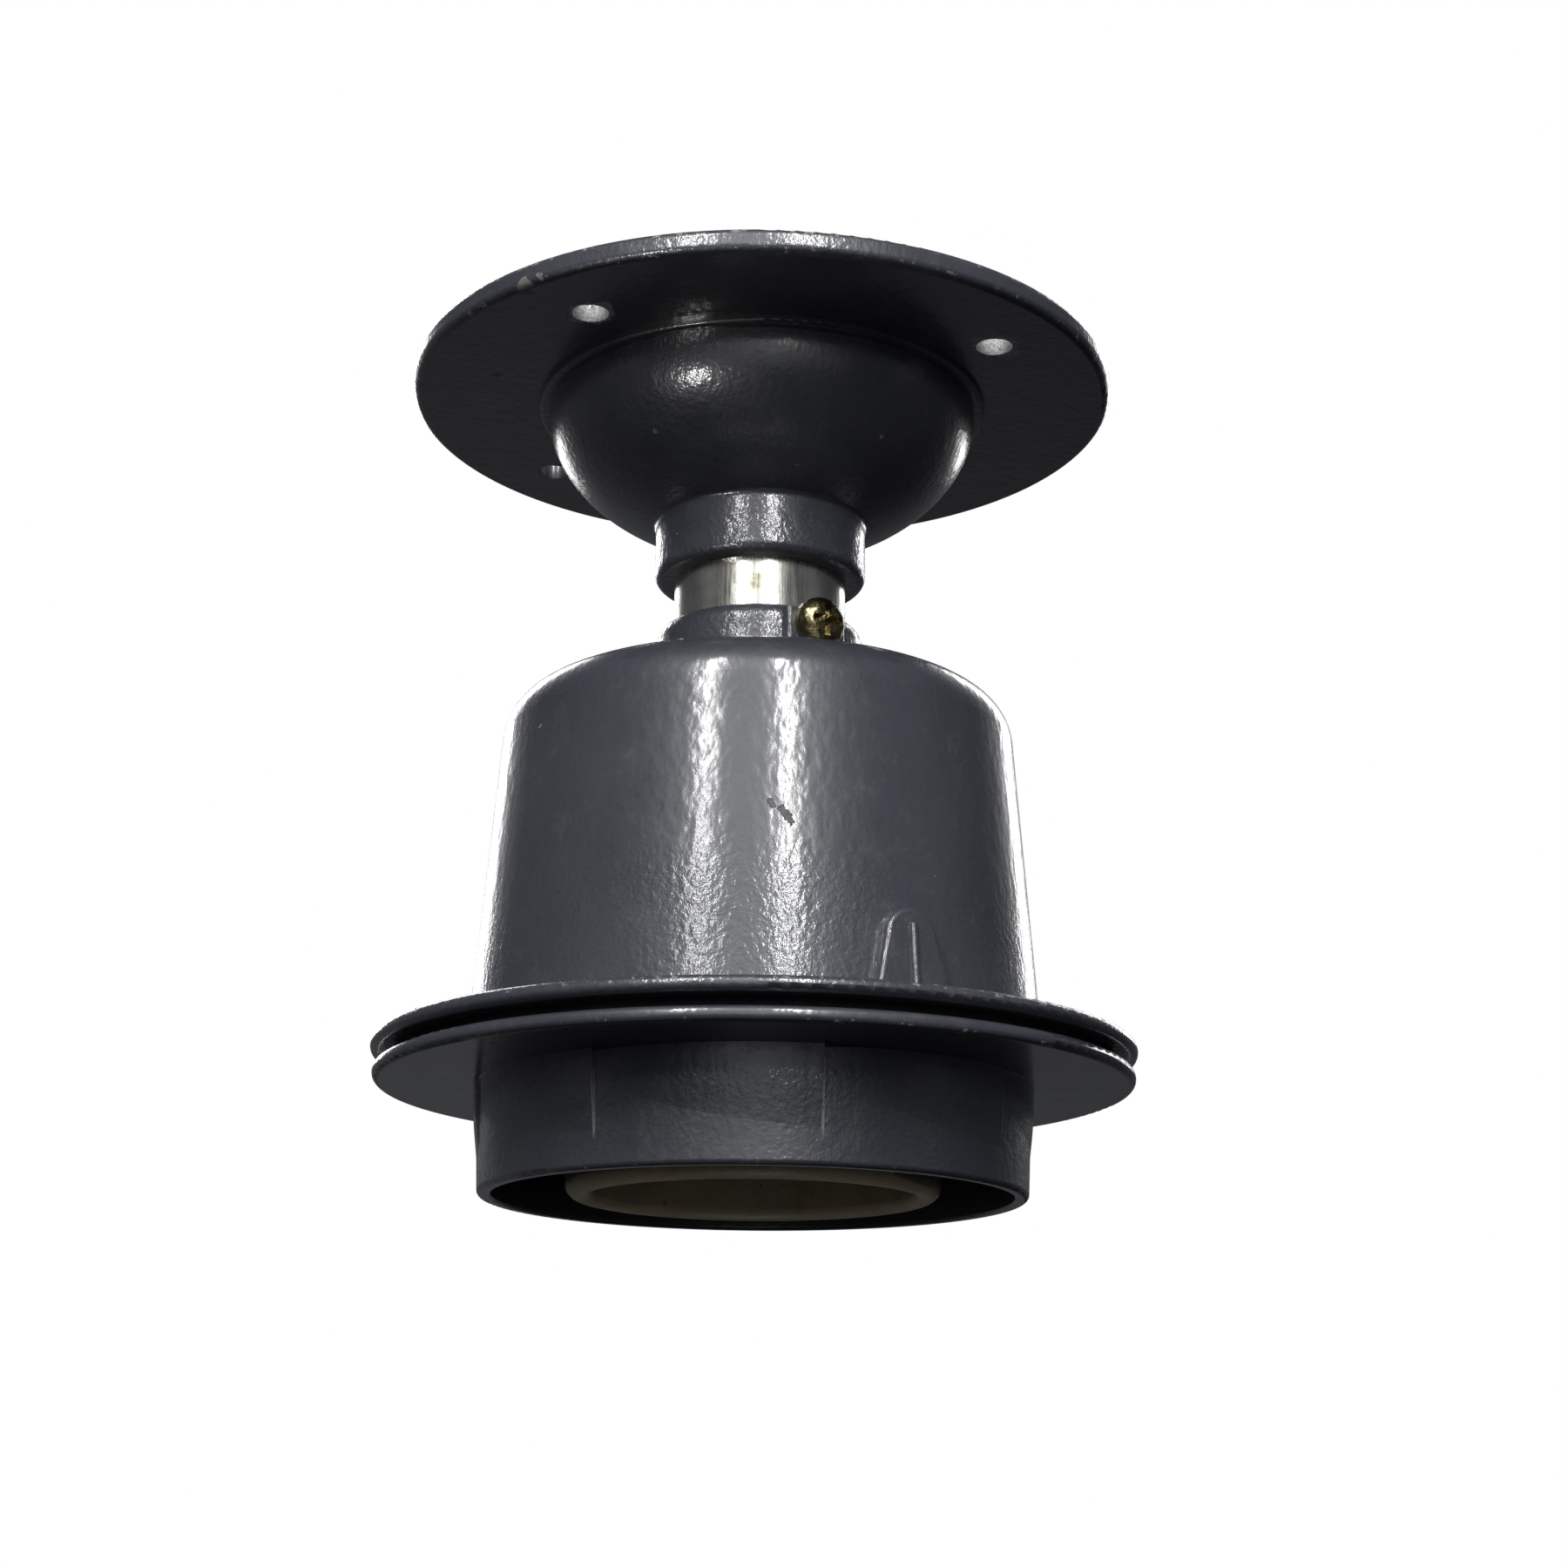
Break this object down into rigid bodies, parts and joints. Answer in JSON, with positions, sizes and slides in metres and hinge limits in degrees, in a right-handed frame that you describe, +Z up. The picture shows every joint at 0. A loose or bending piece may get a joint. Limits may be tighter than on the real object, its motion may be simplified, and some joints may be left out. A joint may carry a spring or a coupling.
{
  "type": "ceiling lamp head",
  "caption": "Cast lamp head on a round ceiling canopy, with a porcelain screw lampholder and a screwed press ring that clamps a shade under the bell's flange.",
  "frame": {"origin": "centre of the ceiling face, on the axis of the tube", "axes": "+Z up along the tube's axis into the ceiling; -Y is the front, where the clamp screw and the bell's rib are on the right"},
  "size_m": [0.1142, 0.1142, 0.1301],
  "materials": {
    "grey_casting": "gloss",
    "tube_steel": "satin",
    "zinc_steel": "satin",
    "gilt_screw": "gloss",
    "gasket_rubber": "matte",
    "porcelain": "satin",
    "brass": "satin",
    "nickel_shell": "satin",
    "spring_steel": "satin"
  },
  "bodies": {
    "canopy": {"ceiling_canopy": "grey_casting", "support_tube": "tube_steel", "tube_upper_nut": "zinc_steel", "head_washer": "zinc_steel", "tube_lower_nut": "zinc_steel"},
    "head": {"bell_housing": "grey_casting", "earth_screw": "brass", "earth_washer": "brass", "holder_bracket": "zinc_steel", "bracket_screws": "zinc_steel", "bracket_washers": "zinc_steel", "holder_screws": "zinc_steel", "holder_nuts": "zinc_steel", "lampholder_body": "porcelain", "screw_shell": "nickel_shell", "shell_screw": "brass", "shell_rivets": "brass", "shell_terminal": "brass", "centre_terminal": "brass", "terminal_screws": "brass", "contact_spring": "spring_steel"},
    "clamp_screw": {"clamp_screw": "gilt_screw"},
    "gasket": {"shade_gasket": "gasket_rubber"},
    "press_ring": {"press_ring": "grey_casting"},
    "centre_contact": {"centre_contact": "brass"}
  },
  "joints": [
    {"name": "head_swivel", "type": "hinge", "parent": "canopy", "child": "head", "pos_m": [0, 0, -0.057], "axis": [0, 0, 1], "range_deg": [-175, 175]},
    {"name": "clamp_screw_turn", "type": "hinge", "parent": "head", "child": "clamp_screw", "pos_m": [0.00876, -0.01457, -0.0449], "axis": [0.515, -0.8572, 0], "range_deg": [0, 360]},
    {"name": "ring_travel", "type": "slide", "parent": "head", "child": "gasket", "axis": [0, 0, -1], "range_m": [0, 0.0075]},
    {"name": "ring_turn", "type": "hinge", "parent": "gasket", "child": "press_ring", "pos_m": [0, 0, -0.1127], "axis": [0, 0, -1], "range_deg": [0, 900]},
    {"name": "contact_push", "type": "slide", "parent": "head", "child": "centre_contact", "axis": [0, 0, 1], "range_m": [0, 0.0025], "stiffness_N_per_m": 1500, "springref_m": -0.002, "deforming": ["contact_spring"]}
  ],
  "couplings": [
    {"joint": "ring_travel", "follows": "ring_turn", "m_per_rad": 0.00047746}
  ]
}
